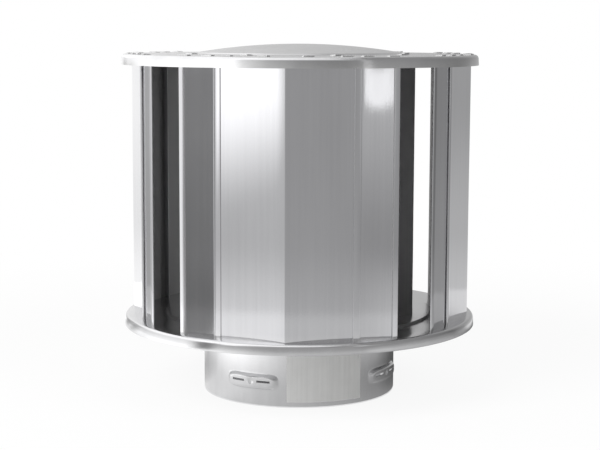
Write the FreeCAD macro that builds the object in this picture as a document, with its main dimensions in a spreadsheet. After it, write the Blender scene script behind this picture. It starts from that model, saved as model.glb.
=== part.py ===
# High-wind cap for a 4 inch double-wall gas vent, modelled as separate sheet-metal pieces.
# Millimetres, +Z up. The origin is the centre of the collar's lower edge, on which the cap stands.
# Angles round the axis are counted from the front, which is -Y, and grow towards +X.

import FreeCAD, Part
import os
import Sketcher

App = FreeCAD
doc = App.newDocument("vent_cap")

# Driving dimensions, one cell each
driving = {
    # the vent pipe that the cap goes on
    "pipe_inner_diameter": 101.6,
    "pipe_wall": 6.35,
    "collar_play": 0.3,
    "flue_play": 0.4,
    # collars
    "collar_sheet": 0.5,
    "collar_height": 48.0,
    "collar_flange_setback": 0.15,
    "flue_sheet": 0.45,
    "flue_length": 40.0,
    "flue_flange_margin": 0.2,
    "flue_hole_play": 1.3,
    "seam_width": 8.0,
    # locking lugs pressed out of the collar
    "lug_count": 4,
    "lug_turn": -28.5,
    "lug_span": 34.0,
    "lug_height": 7.5,
    "lug_center_height": 13.5,
    "lug_rise": 1.4,
    "lug_slope": 1.3,
    "lug_slot_turn": 8.0,
    "lug_slot_span": 8.0,
    "lug_slot_height": 1.6,
    # plates
    "plate_sheet": 0.6,
    "plate_margin": 2.4,
    "top_overhang": 0.7,
    "rim_depth": 6.1,
    "step_height": 1.5,
    "step_run": 0.8,
    "dome_height": 6.1,
    "dome_crown": 14.0,
    "dome_margin": 2.4,
    "clear_height": 155.0,
    # outer shields, bent to a shallow V
    "louver_turn": -4.3,
    "louver_sheet": 0.6,
    "shield_ridge_radius": 102.1,
    "shield_panel_width": 42.6,
    "shield_angle": 18.0,
    "shield_hem": 4.2,
    # side vanes beside each shield
    "vane_angle": 23.0,
    "vane_play": 0.75,
    "vane_overlap": 2.2,
    "vane_width": 22.6,
    "vane_hem": 3.4,
    "vane_lip": 6.0,
    "vane_lip_angle": 60.0,
    # flat baffles inside, one behind each gap
    "baffle_setback": 1.75,
    "baffle_width": 77.2,
    "baffle_lip": 4.0,
    # tabs that go through the plates and are bent over
    "tab_width": 6.0,
    "tab_reach": 4.0,
    "tab_play": 0.3,
    "shield_tab_edge": 9.0,
    "shield_tab_ridge": 12.0,
    "vane_tab_spacing": 15.0,
    "baffle_tab_spacing": 51.6,
    # rivets that clamp both collars to the base plate
    "rivet_count": 3,
    "rivet_radius": 1.6,
    "rivet_play": 0.05,
    "rivet_head_margin": 0.3,
    "rivet_head_height": 0.9,
}

sizes = doc.addObject("Spreadsheet::Sheet", "sizes")
for row, (alias, value) in enumerate(driving.items(), start=1):
    sizes.set(f"A{row}", alias)
    sizes.set(f"B{row}", str(value))
    sizes.setAlias(f"B{row}", alias)
doc.recompute()

# Lengths worked out from the driving ones, written once and used by several pieces

# from the pipe outwards
collarInner = "(sizes.pipe_inner_diameter / 2 + sizes.pipe_wall + sizes.collar_play)"
flueOuter = "(sizes.pipe_inner_diameter / 2 - sizes.flue_play)"
plateHole = f"({flueOuter} + sizes.flue_hole_play)"
rivetCircle = f"(({plateHole} + {collarInner}) / 2)"
rivetHead = f"(({collarInner} - {plateHole}) / 2 - sizes.rivet_head_margin)"
flueFlangeEdge = f"({rivetCircle} + {rivetHead} + sizes.flue_flange_margin)"

# heights
stepUnderside = "sizes.collar_height"
stepTop = "(sizes.collar_height + sizes.plate_sheet)"
baseTop = f"({stepTop} - sizes.step_height)"
topUnderside = f"({baseTop} + sizes.clear_height)"
louverMiddle = f"({baseTop} + sizes.clear_height / 2)"
baffleHeight = "(sizes.clear_height - sizes.step_height)"
baffleMiddle = f"({stepTop} + {baffleHeight} / 2)"

# A shield's two panels are mirror images. The foot of a panel is where the line from the axis
# meets it square on: its distance from the axis, and the ridge's distance from that foot.
shieldOffset = "(sizes.shield_ridge_radius * cos(sizes.shield_angle))"
shieldRidge = "(sizes.shield_ridge_radius * sin(sizes.shield_angle))"

# A vane starts just behind the shield's free edge. That edge as the vane sees it: how far along
# the vane and how far out, from the vane's own foot.
vaneTilt = "(sizes.vane_angle - sizes.shield_angle)"
shieldEnd = f"(sizes.shield_panel_width - {shieldRidge})"
edgeAlong = f"({shieldEnd} * cos({vaneTilt}) - {shieldOffset} * sin({vaneTilt}))"
edgeOut = f"({shieldEnd} * sin({vaneTilt}) + {shieldOffset} * cos({vaneTilt}))"
vaneOffset = f"({edgeOut} - sizes.louver_sheet * cos({vaneTilt}) - sizes.vane_play)"
vaneStart = f"({edgeAlong} - sizes.vane_overlap)"
vaneEnd = f"({edgeAlong} + sizes.vane_width)"

baffleOffset = f"({flueFlangeEdge} + sizes.baffle_setback + sizes.louver_sheet)"
tabHole = "(sizes.tab_width + 2 * sizes.tab_play)"

# the dome ends inside the baffles' tabs, which lie flat on the plate
baffleTabCorner = ("sqrt(((sizes.baffle_tab_spacing - sizes.tab_width) / 2) ^ 2"
                   f" + ({baffleOffset} - sizes.louver_sheet) ^ 2)")
domeRadius = f"({baffleTabCorner} - sizes.dome_margin)"

# the plates reach past the shields' tabs
shieldTabCorner = (f"sqrt(({shieldOffset} + sizes.tab_reach) ^ 2"
                   f" + ({shieldRidge} - sizes.shield_tab_ridge + sizes.tab_width / 2) ^ 2)")
baseRadius = f"({shieldTabCorner} + sizes.plate_margin)"
topRadius = f"({baseRadius} + sizes.top_overhang)"

# the raised middle ends halfway between the baffles' corners and the vanes' lips
baffleCorner = f"sqrt((sizes.baffle_width / 2) ^ 2 + {baffleOffset} ^ 2)"
lipDepth = "(sizes.vane_lip * sin(sizes.vane_lip_angle) + sizes.louver_sheet)"
lipCorner = f"sqrt({vaneStart} ^ 2 + ({vaneOffset} - {lipDepth}) ^ 2)"
stepRadius = f"(({baffleCorner} + {lipCorner} - sizes.step_run) / 2)"

subParts = []


def newBody(label):
    body = doc.addObject("PartDesign::Body", label)
    body.Label = label
    subParts.append(body)
    return body


def originItem(body, role):
    return next(item for item in body.Origin.OriginFeatures if item.Role == role)


def newSketch(body, name, plane="XY_Plane", offset=None, turnAxis=None, turn=None):
    # offset: expressions for the shift in the plane's own x, y and z
    sketch = body.newObject("Sketcher::SketchObject", f"{body.Name}_{name}")
    sketch.AttachmentSupport = [(originItem(body, plane), "")]
    sketch.MapMode = "FlatFace"
    if turn is not None:
        sketch.AttachmentOffset = App.Placement(App.Vector(), App.Rotation(App.Vector(*turnAxis), 1))
        sketch.setExpression("AttachmentOffset.Rotation.Angle", turn)
    for axis, expression in zip("xyz", offset or ()):
        if expression != "0":
            sketch.setExpression(f"AttachmentOffset.Base.{axis}", expression)
    return sketch


def number(sketch, expression):
    value = sketch.evalExpression(expression)
    return float(getattr(value, "Value", value))


def drive(sketch, kind, value, expression, *where):
    index = sketch.addConstraint(Sketcher.Constraint(kind, *where, value))
    sketch.setExpression(f"Constraints[{index}]", expression)


def placePoint(sketch, geometry, end, corner):
    # -1 is the sketch's origin and horizontal axis, -2 its vertical axis
    for kind, axis, expression in (("DistanceX", -2, corner[0]), ("DistanceY", -1, corner[1])):
        if expression == "0":
            sketch.addConstraint(Sketcher.Constraint("PointOnObject", geometry, end, axis))
        else:
            value = number(sketch, expression)
            drive(sketch, kind, value, expression, -1, 1, geometry, end)


def outline(sketch, corners):
    # a closed outline of straight sides through the corners
    points = [App.Vector(number(sketch, x), number(sketch, y), 0) for x, y in corners]
    first = sketch.GeometryCount
    for place, start in enumerate(points):
        side = Part.LineSegment(start, points[(place + 1) % len(points)])
        sketch.addGeometry(side, False)
    for place, corner in enumerate(corners):
        following = first + (place + 1) % len(points)
        sketch.addConstraint(Sketcher.Constraint("Coincident", first + place, 2, following, 1))
        placePoint(sketch, first + place, 1, corner)


def rectangle(sketch, left, right, low, high):
    outline(sketch, [(left, low), (right, low), (right, high), (left, high)])


def circle(sketch, radius, center=("0", "0")):
    spot = App.Vector(number(sketch, center[0]), number(sketch, center[1]), 0)
    place = sketch.addGeometry(
        Part.Circle(spot, App.Vector(0, 0, 1), number(sketch, radius)), False)
    if center == ("0", "0"):
        sketch.addConstraint(Sketcher.Constraint("Coincident", place, 3, -1, 1))
    else:
        placePoint(sketch, place, 3, center)
    drive(sketch, "Radius", number(sketch, radius), radius, place)


def feature(body, kind, name, profile, **settings):
    item = body.newObject(f"PartDesign::{kind}", f"{body.Name}_{name}")
    item.Profile = profile
    for setting, value in settings.items():
        setattr(item, setting, value)
    return item


def pad(body, name, sketch, length, **settings):
    item = feature(body, "Pad", name, sketch, **settings)
    item.setExpression("Length", length)
    return item


def cutThrough(body, name, sketch):
    return feature(body, "Pocket", name, sketch, Type=1, Midplane=True)


def revolve(body, name, sketch, angle=None, kind="Revolution"):
    item = feature(body, kind, name, sketch, ReferenceAxis=(sketch, ["V_Axis"]))
    if angle is None:
        item.Angle = 360
    else:
        item.Midplane = True
        item.setExpression("Angle", angle)
    return item


def ring(body, name, originals, count):
    pattern = body.newObject("PartDesign::PolarPattern", f"{body.Name}_{name}")
    pattern.Originals = originals
    pattern.Axis = (originItem(body, "Z_Axis"), [""])
    pattern.Angle = 360
    pattern.setExpression("Occurrences", count)
    body.Tip = pattern
    return pattern


def turnBody(body, turn, height):
    # turns a piece that is drawn facing +Y so that it faces this many degrees from the front
    body.Placement = App.Placement(App.Vector(), App.Rotation(App.Vector(0, 0, 1), 1))
    body.setExpression("Placement.Base.z", height)
    body.setExpression("Placement.Rotation.Angle", f"180 + {turn}")


# Where the tabs stand along each row, from the row's foot
shieldTabs = [
    f"(sizes.shield_tab_ridge - {shieldRidge})",
    f"({shieldEnd} - sizes.shield_tab_edge)",
]
vaneTabs = [
    f"(({vaneStart} + {vaneEnd} - sizes.vane_tab_spacing) / 2)",
    f"(({vaneStart} + {vaneEnd} + sizes.vane_tab_spacing) / 2)",
]
baffleTabs = ["(-sizes.baffle_tab_spacing / 2)", "(sizes.baffle_tab_spacing / 2)"]


def tabRows():
    # name, turn from the louver's own direction, distance from the axis, hand, places of the tabs
    rows = []
    for side, hand in (("right", 1), ("left", -1)):
        rows.append((f"shield_{side}", f"({hand} * sizes.shield_angle)", shieldOffset, hand, shieldTabs))
        rows.append((f"vane_{side}", f"({hand} * sizes.vane_angle)", vaneOffset, hand, vaneTabs))
    rows.append(("baffle", "45", baffleOffset, 1, baffleTabs))
    return rows


def cutTabSlots(body):
    for name, turn, offset, hand, places in tabRows():
        # in the sketch, +Y points away from the axis and +X along the row
        rowTurn = f"180 + sizes.louver_turn + {turn}"
        sketch = newSketch(body, f"{name}_slots", turnAxis=(0, 0, 1), turn=rowTurn)
        for place in places:
            # drawn facing +Y, so that a row's places grow towards -X
            middle = f"({-hand} * {place})"
            rectangle(sketch, f"{middle} - {tabHole} / 2", f"{middle} + {tabHole} / 2",
                      f"{offset} - sizes.louver_sheet - sizes.tab_play", f"{offset} + sizes.tab_play")
        slots = cutThrough(body, f"{name}_slot_cut", sketch)
        ring(body, f"{name}_slot_ring", [slots], "4")


def makeTopPlate():
    # a pressed disc with a turned-down rim and a low dome; z = 0 is the flat's underside
    body = newBody("top_plate")
    sheet = "sizes.plate_sheet"
    lower = f"{sheet} - sizes.rim_depth"
    # the dome is a shallow cone with a small flat crown
    crown = "sizes.dome_crown"
    sketch = newSketch(body, "profile", "XZ_Plane")
    outline(sketch, [
        ("0", "sizes.dome_height"),
        (crown, "sizes.dome_height"),
        (domeRadius, "0"),
        (f"{topRadius} - {sheet}", "0"),
        (f"{topRadius} - {sheet}", lower),
        (topRadius, lower),
        (topRadius, sheet),
        (domeRadius, sheet),
        (crown, f"{sheet} + sizes.dome_height"),
        ("0", f"{sheet} + sizes.dome_height"),
    ])
    revolve(body, "pressing", sketch)
    cutTabSlots(body)
    body.setExpression("Placement.Base.z", topUnderside)


def makeBasePlate():
    # a pressed ring with a turned-down rim and a raised middle; z = 0 is the flat's upper face
    body = newBody("base_plate")
    sheet = "sizes.plate_sheet"
    step = "sizes.step_height"
    lower = "(-sizes.rim_depth)"
    shift = f"{sheet} * tan(atan({step} / sizes.step_run) / 2)"
    sketch = newSketch(body, "profile", "XZ_Plane")
    outline(sketch, [
        (plateHole, f"{step} - {sheet}"),
        (f"{stepRadius} - {shift}", f"{step} - {sheet}"),
        (f"{stepRadius} + sizes.step_run - {shift}", f"-{sheet}"),
        (f"{baseRadius} - {sheet}", f"-{sheet}"),
        (f"{baseRadius} - {sheet}", lower),
        (baseRadius, lower),
        (baseRadius, "0"),
        (f"{stepRadius} + sizes.step_run", "0"),
        (stepRadius, step),
        (plateHole, step),
    ])
    revolve(body, "pressing", sketch)
    rivetHoles(body)
    cutTabSlots(body)
    body.setExpression("Placement.Base.z", baseTop)


def rivetHoles(body):
    sketch = newSketch(body, "rivet_hole")
    circle(sketch, "sizes.rivet_radius + sizes.rivet_play", (rivetCircle, "0"))
    hole = cutThrough(body, "rivet_hole_cut", sketch)
    ring(body, "rivet_hole_ring", [hole], "sizes.rivet_count")


def makeOuterCollar():
    body = newBody("outer_collar")
    outerRadius = f"({collarInner} + sizes.collar_sheet)"
    flangeEdge = f"({plateHole} + sizes.collar_flange_setback)"
    sketch = newSketch(body, "profile", "XZ_Plane")
    outline(sketch, [
        (collarInner, "0"),
        (outerRadius, "0"),
        (outerRadius, stepUnderside),
        (flangeEdge, stepUnderside),
        (flangeEdge, f"{stepUnderside} - sizes.collar_sheet"),
        (collarInner, f"{stepUnderside} - sizes.collar_sheet"),
    ])
    revolve(body, "wall", sketch)
    lugSketch = lugSection(body, "lug", outerRadius, "0", "sizes.lug_rise")
    lug = revolve(body, "lug_form", lugSketch, "sizes.lug_span")
    ring(body, "lug_ring", [lug], "sizes.lug_count")
    # the hollow behind each lug, one sheet thickness smaller
    hollowSketch = lugSection(body, "hollow", collarInner, "sizes.collar_sheet", "sizes.lug_rise")
    inset = f"(2 * sizes.collar_sheet / {collarInner} * 180 / pi)"
    hollow = revolve(body, "lug_hollow", hollowSketch, f"sizes.lug_span - {inset}", "Groove")
    ring(body, "hollow_ring", [hollow], "sizes.lug_count")
    for name, hand in (("right", 1), ("left", -1)):
        slotTurn = f"-90 + sizes.lug_turn + {hand} * sizes.lug_slot_turn"
        slotSketch = newSketch(body, f"slot_{name}", "XZ_Plane", turnAxis=(0, 1, 0), turn=slotTurn)
        middle = "sizes.lug_center_height"
        rectangle(slotSketch, collarInner, f"{outerRadius} + 2 * sizes.lug_rise",
                  f"{middle} - sizes.lug_slot_height / 2", f"{middle} + sizes.lug_slot_height / 2")
        slot = revolve(body, f"slot_{name}_cut", slotSketch, "sizes.lug_slot_span", "Groove")
        ring(body, f"slot_{name}_ring", [slot], "sizes.lug_count")
    # the lap of the rolled wall, at the back
    seamSketch = newSketch(body, "seam", "XZ_Plane", turnAxis=(0, 1, 0), turn="90")
    rectangle(seamSketch, outerRadius, f"{outerRadius} + sizes.collar_sheet", "0", stepUnderside)
    revolve(body, "seam_lap", seamSketch, f"sizes.seam_width / {outerRadius} * 180 / pi")
    rivetHoles(body)


def lugSection(body, name, radius, inset, rise):
    # a trapezoid that stands on the wall and rises outwards
    sketch = newSketch(body, name, "XZ_Plane", turnAxis=(0, 1, 0), turn="-90 + sizes.lug_turn")
    low = f"(sizes.lug_center_height - sizes.lug_height / 2 + {inset})"
    high = f"(sizes.lug_center_height + sizes.lug_height / 2 - {inset})"
    outline(sketch, [
        (radius, low),
        (f"{radius} + {rise}", f"{low} + sizes.lug_slope"),
        (f"{radius} + {rise}", f"{high} - sizes.lug_slope"),
        (radius, high),
    ])
    return sketch


def makeFlueCollar():
    body = newBody("flue_collar")
    sketch = newSketch(body, "profile", "XZ_Plane")
    sheet = "sizes.flue_sheet"
    outline(sketch, [
        (f"{flueOuter} - {sheet}", f"{stepTop} - sizes.flue_length"),
        (flueOuter, f"{stepTop} - sizes.flue_length"),
        (flueOuter, stepTop),
        (flueFlangeEdge, stepTop),
        (flueFlangeEdge, f"{stepTop} + {sheet}"),
        (f"{flueOuter} - {sheet}", f"{stepTop} + {sheet}"),
    ])
    revolve(body, "wall", sketch)
    rivetHoles(body)


def makeRivets():
    body = newBody("collar_rivets")
    sketch = newSketch(body, "profile", "XZ_Plane", offset=(rivetCircle, "0", "0"))
    under = f"({stepUnderside} - sizes.collar_sheet)"
    over = f"({stepTop} + sizes.flue_sheet)"
    rise = "sizes.rivet_head_height"
    outline(sketch, [
        ("0", f"{under} - {rise}"),
        (f"{rivetHead} - {rise}", f"{under} - {rise}"),
        (rivetHead, under),
        ("sizes.rivet_radius", under),
        ("sizes.rivet_radius", over),
        (rivetHead, over),
        (f"{rivetHead} - {rise}", f"{over} + {rise}"),
        ("0", f"{over} + {rise}"),
    ])
    rivet = revolve(body, "rivet", sketch)
    ring(body, "rivet_ring", [rivet], "sizes.rivet_count")


def bentTabs(body, name, places, face, height, reach):
    # Each tab rises through the plate's slot and is bent outwards onto the plate, above and
    # below. reach gives the shift and the turn of the row's sketches in the YZ plane.
    edge = f"({height} / 2)"
    under = f"({edge} + sizes.plate_sheet)"
    over = f"({under} + sizes.louver_sheet)"
    pads = []
    for count, place in enumerate(places, start=1):
        shift, turn = reach(place)
        sketch = newSketch(body, f"{name}_{count}", "YZ_Plane", shift, (0, 1, 0), turn)
        for sign in ("", "-"):
            outline(sketch, [
                (f"{face} - sizes.louver_sheet", f"{sign}{edge}"),
                (face, f"{sign}{edge}"),
                (face, f"{sign}{under}"),
                (f"{face} + sizes.tab_reach", f"{sign}{under}"),
                (f"{face} + sizes.tab_reach", f"{sign}{over}"),
                (f"{face} - sizes.louver_sheet", f"{sign}{over}"),
            ])
        pads.append(pad(body, f"{name}_{count}_pad", sketch, "sizes.tab_width", Midplane=True))
    return pads


def makeShield(label, turn):
    body = newBody(label)
    slope = "sizes.shield_angle"
    ridge = "sizes.shield_ridge_radius"

    def onPanel(along, out):
        # a point of one panel: its distance from the ridge, and from the outer face
        return (f"({along}) * cos({slope}) + ({out}) * sin({slope})",
                f"{ridge} - ({along}) * sin({slope}) + ({out}) * cos({slope})")

    sheet = "sizes.louver_sheet"
    width = "sizes.shield_panel_width"
    hemStart = f"{width} - sizes.shield_hem"
    section = newSketch(body, "section")
    outline(section, [
        ("0", f"{ridge} - {sheet} / cos({slope})"),
        onPanel(width, f"-{sheet}"),
        onPanel(width, sheet),
        onPanel(hemStart, sheet),
        onPanel(hemStart, "0"),
        ("0", ridge),
    ])
    panel = pad(body, "panel", section, "sizes.clear_height", Midplane=True)
    tabs = bentTabs(
        body, "tab", shieldTabs, shieldOffset, "sizes.clear_height",
        lambda place: ((f"-{place} * sin({slope})", "0", f"{place} * cos({slope})"), f"-{slope}"))
    halves = body.newObject("PartDesign::Mirrored", f"{label}_halves")
    halves.Originals = [panel] + tabs
    halves.MirrorPlane = (originItem(body, "YZ_Plane"), [""])
    body.Tip = halves
    turnBody(body, turn, louverMiddle)


def makeVane(label, turn, hand):
    body = newBody(label)
    sheet = "sizes.louver_sheet"
    face = vaneOffset
    lip = "sizes.vane_lip"
    bend = "sizes.vane_lip_angle"

    def at(along, out):
        # along the vane towards the gap, and outwards from its outer face
        return (f"{-hand} * ({along})", f"{face} + ({out})")

    section = newSketch(body, "section")
    corners = [
        at(vaneStart, "0"),
        at(f"{vaneEnd} - sizes.vane_hem", "0"),
        at(f"{vaneEnd} - sizes.vane_hem", sheet),
        at(vaneEnd, sheet),
        at(vaneEnd, f"-{sheet}"),
        at(f"{vaneStart} + {sheet} * tan({bend} / 2)", f"-{sheet}"),
        at(f"{vaneStart} - {lip} * cos({bend}) + {sheet} * sin({bend})",
           f"-{lip} * sin({bend}) - {sheet} * cos({bend})"),
        at(f"{vaneStart} - {lip} * cos({bend})", f"-{lip} * sin({bend})"),
    ]
    outline(section, corners)
    pad(body, "wall", section, "sizes.clear_height", Midplane=True)
    bentTabs(body, "tab", vaneTabs, face, "sizes.clear_height",
             lambda place: (("0", "0", f"{-hand} * {place}"), None))
    turnBody(body, f"{turn} + {hand} * sizes.vane_angle", louverMiddle)


def makeBaffle(label, turn):
    body = newBody(label)
    sheet = "sizes.louver_sheet"
    face = baffleOffset
    side = "sizes.baffle_width / 2"
    lip = "sizes.baffle_lip"
    section = newSketch(body, "section")
    outline(section, [
        (f"{side}", face),
        (f"-{side}", face),
        (f"-{side}", f"{face} - {lip}"),
        (f"{sheet} - {side}", f"{face} - {lip}"),
        (f"{sheet} - {side}", f"{face} - {sheet}"),
        (f"{side} - {sheet}", f"{face} - {sheet}"),
        (f"{side} - {sheet}", f"{face} - {lip}"),
        (f"{side}", f"{face} - {lip}"),
    ])
    pad(body, "wall", section, baffleHeight, Midplane=True)
    bentTabs(body, "tab", baffleTabs, face, baffleHeight,
             lambda place: (("0", "0", place), None))
    turnBody(body, f"{turn} + 45", baffleMiddle)


makeTopPlate()
makeBasePlate()
makeOuterCollar()
makeFlueCollar()
makeRivets()
# four louvers, a quarter turn apart: front, right, back and left
for quarter, name in enumerate("abcd"):
    turn = f"sizes.louver_turn + {quarter} * 90"
    makeShield(f"shield_{name}", turn)
    makeVane(f"vane_right_{name}", turn, 1)
    makeVane(f"vane_left_{name}", turn, -1)
    makeBaffle(f"baffle_{name}", turn)
doc.recompute()

for item in doc.Objects:
    if "Invalid" in item.State or "Error" in item.State:
        raise RuntimeError(f"{item.Name} failed: {item.State}")
os.makedirs("parts", exist_ok=True)
for body in subParts:
    shape = body.Shape
    if shape.isNull() or not shape.isValid() or not shape.Solids:
        raise RuntimeError(f"{body.Label} has no valid solid")
    shape.exportStep(f"parts/{body.Label}.step")
    print(body.Label, len(shape.Solids), "solid(s)", round(shape.Volume), "mm3")
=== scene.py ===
import math
import random

import bmesh
import bpy
from mathutils import Matrix, Vector


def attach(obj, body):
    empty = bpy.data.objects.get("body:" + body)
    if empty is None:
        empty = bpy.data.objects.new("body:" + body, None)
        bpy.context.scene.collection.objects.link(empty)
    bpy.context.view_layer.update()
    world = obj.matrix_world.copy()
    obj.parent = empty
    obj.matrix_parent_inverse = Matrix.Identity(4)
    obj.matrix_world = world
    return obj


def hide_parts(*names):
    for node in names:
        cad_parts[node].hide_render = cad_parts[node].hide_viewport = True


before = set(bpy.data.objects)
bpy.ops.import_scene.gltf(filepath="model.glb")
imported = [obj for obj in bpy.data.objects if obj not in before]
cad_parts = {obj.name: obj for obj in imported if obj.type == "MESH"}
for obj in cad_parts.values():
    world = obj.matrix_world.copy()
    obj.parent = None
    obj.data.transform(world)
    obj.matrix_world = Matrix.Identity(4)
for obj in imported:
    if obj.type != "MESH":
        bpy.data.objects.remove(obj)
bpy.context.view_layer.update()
mm = 0.001
quarterTurn = 90
louverNames = "abcd"  # front, right, back, left
louverTurn = -4.3  # the front louver's azimuth, in degrees to the right of the front
heights = {  # mm above the collar's edge
    "foot": 47.1,  # top face of the base plate
    "middle": 48.6,  # top face of the base plate's raised middle
    "head": 202.1,  # under side of the top plate
    "sheet": 0.6,  # thickness of both plates
}
# m, points that lie nearer to each other become one
joinGap = {"spun": 0.00001, "grown": 0.000002, "collar": 0.000001}
print("frame loaded:", len(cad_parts), "nodes")


# small helpers
def rounded(points, steps=5, closed=True, mostShare=0.48):
    # corners (x, y, radius) to a line whose corners are arcs
    line = []
    last = len(points) - 1
    for i, (x, y, radius) in enumerate(points):
        if radius <= 0 or (not closed and i in (0, last)):
            line.append((x, y))
            continue
        corner = Vector((x, y))
        back = Vector(points[i - 1][:2]) - corner
        ahead = Vector(points[(i + 1) % (last + 1)][:2]) - corner
        half = back.angle(ahead) / 2
        reach = min(radius / math.tan(half), mostShare * back.length, mostShare * ahead.length)
        size = reach * math.tan(half)
        back.normalize()
        ahead.normalize()
        center = corner + (back + ahead).normalized() * (size / math.sin(half))
        first = corner + back * reach - center
        second = corner + ahead * reach - center
        turn = first.angle_signed(second)
        for k in range(steps + 1):
            arm = Matrix.Rotation(-turn * k / steps, 2) @ first
            line.append((center.x + arm.x, center.y + arm.y))
    return line


def divided(line, spacing, closed=True):
    # extra points on the long straight runs, so that a sheet can be a little wavy
    result = []
    count = len(line)
    for i, point in enumerate(line):
        result.append(point)
        if i == count - 1 and not closed:
            break
        following = line[(i + 1) % count]
        cuts = int(math.dist(point, following) / spacing)
        for k in range(1, cuts + 1):
            t = k / (cuts + 1)
            result.append((point[0] + (following[0] - point[0]) * t,
                           point[1] + (following[1] - point[1]) * t))
    return result


def outward(azimuth):
    # the unit vector that points out of the cap at an azimuth
    return Vector((math.sin(math.radians(azimuth)), -math.cos(math.radians(azimuth)), 0))


def rightward(azimuth):
    return Vector((math.cos(math.radians(azimuth)), math.sin(math.radians(azimuth)), 0))


def newObject(name, data):
    item = bpy.data.objects.new(name, data)
    bpy.context.scene.collection.objects.link(item)
    return item


def newPiece(name, mesh, finish, nodes, angle=40):
    # edges that turn by more than the angle stay crisp
    mesh.name = name
    mesh.materials.clear()
    mesh.materials.append(finish)
    mesh.shade_smooth()
    mesh.set_sharp_from_angle(angle=math.radians(angle))
    piece = newObject(name, mesh)
    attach(piece, "root")
    if nodes:
        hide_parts(*nodes)


def meshFrom(vertices, faces=(), edges=()):
    mesh = bpy.data.meshes.new("draft")
    mesh.from_pydata([tuple(v) for v in vertices], edges, faces)
    mesh.update()
    return mesh


def tidyMesh(mesh, gap):
    # doubles merged and faces outwards
    work = bmesh.new()
    work.from_mesh(mesh)
    bmesh.ops.remove_doubles(work, verts=work.verts, dist=gap)
    bmesh.ops.recalc_face_normals(work, faces=work.faces)
    work.to_mesh(mesh)
    work.free()
    return mesh


def spun(profile, steps):
    # a closed profile of (radius, height) in mm, turned round the upright axis
    vertices, rings = [], []
    for radius, height in profile:
        if radius == 0:
            rings.append([len(vertices)] * steps)
            vertices.append((0, 0, height * mm))
            continue
        rings.append(range(len(vertices), len(vertices) + steps))
        for k in range(steps):
            turn = 2 * math.pi * k / steps
            vertices.append((radius * mm * math.cos(turn), radius * mm * math.sin(turn),
                             height * mm))
    faces = []
    for i in range(len(rings)):
        near, far = rings[i], rings[(i + 1) % len(rings)]
        for k in range(steps):
            m = (k + 1) % steps
            corners = [near[k], near[m], far[m], far[k]]
            face = [c for j, c in enumerate(corners) if c not in corners[:j]]
            if len(face) > 2:
                faces.append(face)
    return tidyMesh(meshFrom(vertices, faces), joinGap["spun"])


def newCarrier(mesh, kind):
    # an object that holds a mesh while one modifier works on it
    carrier = newObject("carrier", mesh)
    return carrier, carrier.modifiers.new("work", kind)


def plainMesh(carrier, modifier):
    shape = carrier.evaluated_get(bpy.context.evaluated_depsgraph_get())
    result = bpy.data.meshes.new_from_object(shape)
    carrier.modifiers.remove(modifier)
    bpy.data.objects.remove(carrier)
    return result


def walled(mesh, thickness, side):
    # gives a skin its thickness: outwards at side 1, inwards at -1
    carrier, modifier = newCarrier(mesh, "SOLIDIFY")
    modifier.thickness = thickness
    modifier.offset = side
    return plainMesh(carrier, modifier)


# camera
cameraPlace = {
    "position": (0.00035, -0.9099, 0.2166),
    "pitch": 7.345,  # degrees downwards
    "roll": 0.19,
    "lens": 90.53,
    "sensor": 36.0,
    "nearest": 0.05,
}


def placeCamera(setup):
    data = bpy.data.cameras.new("photoCamera")
    data.lens = setup["lens"]
    data.sensor_width = setup["sensor"]
    data.sensor_fit = "HORIZONTAL"
    data.clip_start = setup["nearest"]
    camera = newObject("photoCamera", data)
    camera.matrix_world = (
        Matrix.Translation(setup["position"])
        @ Matrix.Rotation(math.radians(90 - setup["pitch"]), 4, "X")
        @ Matrix.Rotation(math.radians(setup["roll"]), 4, "Z"))
    bpy.context.scene.camera = camera


placeCamera(cameraPlace)
bpy.context.scene.view_settings.view_transform = "Standard"
print("camera placed")


# node helpers
def feed(tree, socket, value):
    # a socket is linked, anything else is set as a value
    if isinstance(value, bpy.types.NodeSocket):
        tree.links.new(value, socket)
    else:
        socket.default_value = value


def addNode(tree, kind, inputs=None, **settings):
    node = tree.nodes.new(kind)
    for name, value in settings.items():
        setattr(node, name, value)
    for key, value in (inputs or {}).items():
        feed(tree, node.inputs[key], value)
    return node


def nodeOut(tree, kind, inputs=None, **settings):
    # for a node that is used by its first output alone
    return addNode(tree, kind, inputs, **settings).outputs[0]


def maths(tree, operation, *values, clamp=False):
    return nodeOut(tree, "ShaderNodeMath", dict(enumerate(values)),
                   operation=operation, use_clamp=clamp)


def combined(tree, **parts):
    # a vector of x, y and z, where what isn't named is 0
    return nodeOut(tree, "ShaderNodeCombineXYZ",
                   {"xyz".index(axis): value for axis, value in parts.items()})


def lengthOf(tree, vector):
    return addNode(tree, "ShaderNodeVectorMath", {0: vector}, operation="LENGTH").outputs["Value"]


def ranged(tree, value, limits, results=(0.0, 1.0), smooth=False):
    # carries a value from between two limits to between two results
    return nodeOut(tree, "ShaderNodeMapRange", {
        "Value": value, "From Min": limits[0], "From Max": limits[1],
        "To Min": results[0], "To Max": results[1]},
        interpolation_type="SMOOTHSTEP" if smooth else "LINEAR")


def mixed(tree, factor, first, second):
    return nodeOut(tree, "ShaderNodeMix", {0: factor, 2: first, 3: second},
                   data_type="FLOAT")


def mixedColor(tree, factor, first, second):
    return addNode(tree, "ShaderNodeMix", {0: factor, 6: first, 7: second},
                   data_type="RGBA").outputs[2]


def ramp(tree, factor, stops):
    node = addNode(tree, "ShaderNodeValToRGB", {0: factor})
    elements = node.color_ramp.elements
    while len(elements) > 1:
        elements.remove(elements[-1])
    for i, (place, color) in enumerate(stops):
        element = elements[0] if i == 0 else elements.new(place)
        element.position = place
        element.color = (*color, 1)
    return node.outputs[0]


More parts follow.
